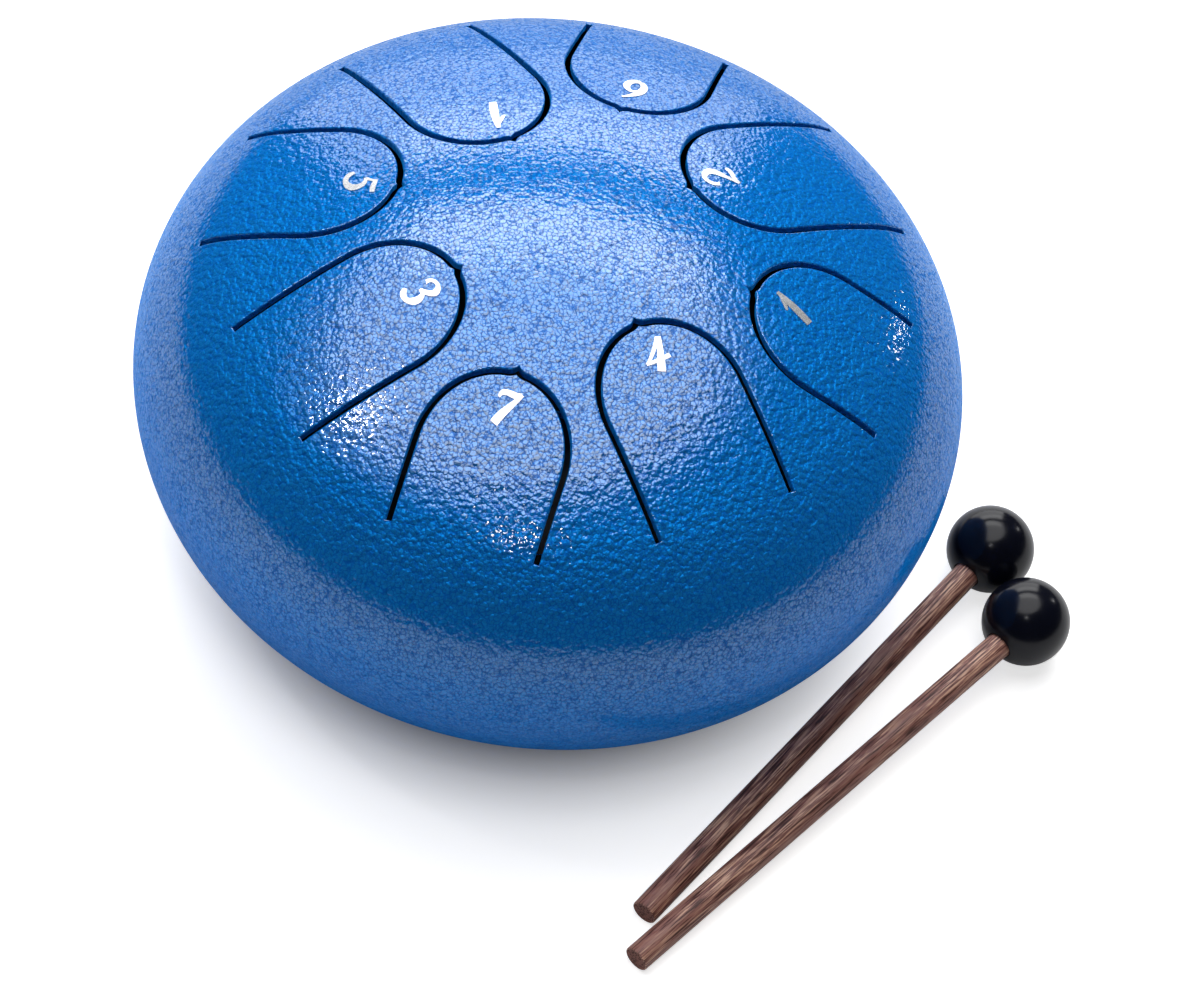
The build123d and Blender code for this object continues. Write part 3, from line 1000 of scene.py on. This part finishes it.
class TONGUEDRUM_OT_mallets(bpy.types.Operator):
    """Build the turned handles and rubber heads of the two mallets"""

    bl_idname = "tongue_drum.mallets"
    bl_label = "Mallets"

    def execute(self, context):
        finishes = context.scene.drum_finishes
        for side in MALLETS:
            place = mallet_place(side)
            to_mallet = place.inverted()
            local = [to_mallet @ point for point in points_of("mallet_handle_" + side)]
            radius = max(hypot(point.x, point.y) for point in local)
            start, tail = min(point.z for point in local), max(point.z for point in local)
            ease = radius * TAIL_EASE
            handle = Pressing()
            rows = [(0, start, 0, -1), (radius, start, 0, -1), (radius, start, 1, 0)]
            rows += arc_rows(radius - ease, tail - ease, ease, 0.0, pi / 2, TAIL_STEPS)
            revolve(handle, rows, MALLET_TURNS, OUTSIDE)
            revolve(handle, [(radius - ease, tail, 0, 1), (0, tail, 0, 1)], MALLET_TURNS, INSIDE)
            materials = [dark_palmwood(finishes), palmwood_end(finishes)]
            name = "mallet_handle_" + side
            handle.make("palmwood_handle_" + side, materials, place, side + "_mallet", [name], "dark_wood")

            bore = radius * BORE_SHARE
            lip = radius * BORE_LIP_SHARE
            mouth_radius = bore + lip
            mouth = asin(mouth_radius / BALL_RADIUS)
            rows = arc_rows(0.0, 0.0, BALL_RADIUS, -pi / 2, pi / 2 - mouth, BALL_STEPS)
            mouth_height = BALL_RADIUS * cos(mouth)
            rows += arc_rows(mouth_radius, mouth_height - lip, lip, pi / 2, pi, BALL_LIP_STEPS)
            rows += [(bore, start, -1, 0), (bore, start, 0, 1), (0, start, 0, 1)]
            head = Pressing()
            revolve(head, rows, MALLET_TURNS, OUTSIDE)
            name = "mallet_head_" + side
            material = polished_rubber(finishes)
            head.make("rubber_head_" + side, [material], place, side + "_mallet", [name], "ball_rubber")
        return {"FINISHED"}


# Name, shape, direction from the drum, distance, width, depth and radiance of each lamp
LAMPS = [
    ("overhead_softbox", "ELLIPSE", (-0.07, 0.24, 1.0), 1.0, 1.26, 1.2, 2.35),
    ("overhead_rim", "RECTANGLE", (-0.03, 0.595, 0.804), 1.02, 0.85, 0.26, 2.2),
    ("outer_diffuser", "ELLIPSE", (-0.1, 0.24, 1.0), 1.05, 1.75, 1.27, 0.4),
    ("back_panel", "RECTANGLE", (-0.13, 1.0, 0.335), 1.1, 1.0, 0.69, 2.2),
    ("back_strip", "RECTANGLE", (-0.05, 1.0, 0.566), 1.08, 0.75, 0.28, 2.0),
    ("left_lamp", "RECTANGLE", (-0.528, -0.036, 0.848), 1.0, 0.06, 0.06, 50),
    ("front_lamp", "RECTANGLE", (-0.009, -0.465, 0.885), 1.0, 0.05, 0.05, 36),
    ("right_lamp", "RECTANGLE", (0.751, 0.6, 0.274), 1.0, 0.045, 0.045, 30),
]


def softbox(name, shape, direction, distance, width, depth, radiance):
    """Flat lamp, a RECTANGLE or an ELLIPSE, that faces the drum from a direction."""
    lamp = bpy.data.lights.new(name, "AREA")
    lamp.shape = shape
    lamp.size = width
    lamp.size_y = depth
    lamp.energy = radiance * pi * width * depth * (pi / 4 if shape == "ELLIPSE" else 1)
    holder = bpy.data.objects.new(name, lamp)
    aim = DRUM_AXIS + Vector((0, 0, SEAM_HEIGHT))
    holder.location = aim + Vector(direction).normalized() * distance
    holder.rotation_euler = Vector(direction).to_track_quat("Z", "Y").to_euler()
    holder.visible_camera = False
    bpy.context.scene.collection.objects.link(holder)


class TONGUEDRUM_OT_stage(bpy.types.Operator):
    """Set up the paper floor, the studio light and the camera"""

    bl_idname = "tongue_drum.stage"
    bl_label = "Stage"

    def execute(self, context):
        scene = context.scene
        stage = scene.drum_stage
        half = stage.floor_size / 2
        mesh = bpy.data.meshes.new("paper_floor")
        corners = [(-half, -half, 0), (half, -half, 0), (half, half, 0), (-half, half, 0)]
        mesh.from_pydata(corners, [], [(0, 1, 2, 3)])
        mesh.materials.append(white_paper(stage))
        floor = bpy.data.objects.new("paper_floor", mesh)
        scene.collection.objects.link(floor)

        for lamp in LAMPS:
            softbox(*lamp)

        world = bpy.data.worlds.new("studio_room")
        world.use_nodes = True
        tree = world.node_tree
        # The room is dim, and the backdrop is white where the camera looks past the floor
        background = {"Color": WHITE, "Strength": backdrop_share(tree, mirrored_share=0.02, other_share=0.018)}
        fill(tree, tree.nodes["Background"], background)
        scene.world = world

        lens = bpy.data.cameras.new("photo_camera")
        lens.sensor_width = SENSOR_WIDTH
        lens.lens = stage.focal_length
        lens.clip_start = NEAREST_SEEN
        camera = bpy.data.objects.new("photo_camera", lens)
        seam = DRUM_AXIS + Vector((0, 0, SEAM_HEIGHT))
        back = Vector((0, -cos(stage.elevation), sin(stage.elevation)))
        facing = Matrix((Vector((1, 0, 0)), back.cross((1, 0, 0)), back)).transposed()
        pixels = stage.focal_length / lens.sensor_width * PHOTO_WIDTH
        ray = Vector((stage.seam_pixel[0] - PHOTO_WIDTH / 2, PHOTO_HEIGHT / 2 - stage.seam_pixel[1], -pixels))
        aside = Vector((0, 0, -1)).rotation_difference(ray).to_matrix()
        turned = facing @ Matrix.Rotation(stage.roll, 3, "Z") @ aside.transposed()
        camera.matrix_world = Matrix.Translation(seam + back * stage.distance) @ turned.to_4x4()
        scene.collection.objects.link(camera)
        scene.camera = camera
        scene.view_settings.view_transform = "Standard"
        return {"FINISHED"}


OPERATORS = [
    TONGUEDRUM_OT_upper_shell,
    TONGUEDRUM_OT_tongues,
    TONGUEDRUM_OT_lower_shell,
    TONGUEDRUM_OT_numerals,
    TONGUEDRUM_OT_feet,
    TONGUEDRUM_OT_mallets,
    TONGUEDRUM_OT_stage,
]


class TONGUEDRUM_PT_sidebar(bpy.types.Panel):
    """Buttons for the drum's pieces and the settings that they use"""

    bl_label = "Steel Tongue Drum"
    bl_space_type = "VIEW_3D"
    bl_region_type = "UI"
    bl_category = "Tongue Drum"

    def draw(self, context):
        for operator in OPERATORS:
            self.layout.operator(operator.bl_idname)
        for settings in (context.scene.drum_shells, context.scene.drum_finishes, context.scene.drum_stage):
            box = self.layout.box()
            for setting in settings.__annotations__:
                box.prop(settings, setting)


SETTINGS = {
    "drum_shells": TONGUEDRUM_PG_shells,
    "drum_finishes": TONGUEDRUM_PG_finishes,
    "drum_stage": TONGUEDRUM_PG_stage,
}


def register():
    """Register the classes and hang the settings on the scene."""
    for kind in [*SETTINGS.values(), *OPERATORS, TONGUEDRUM_PT_sidebar]:
        bpy.utils.register_class(kind)
    for name, kind in SETTINGS.items():
        setattr(bpy.types.Scene, name, bpy.props.PointerProperty(type=kind))


def unregister():
    """Take the settings and the classes away again."""
    for name in SETTINGS:
        delattr(bpy.types.Scene, name)
    for kind in reversed([*SETTINGS.values(), *OPERATORS, TONGUEDRUM_PT_sidebar]):
        bpy.utils.unregister_class(kind)


def main():
    """Build every piece and the stage."""
    register()
    bpy.ops.tongue_drum.upper_shell()
    bpy.ops.tongue_drum.tongues()
    bpy.ops.tongue_drum.lower_shell()
    bpy.ops.tongue_drum.numerals()
    bpy.ops.tongue_drum.feet()
    bpy.ops.tongue_drum.mallets()
    bpy.ops.tongue_drum.stage()


if __name__ == "__main__":
    main()
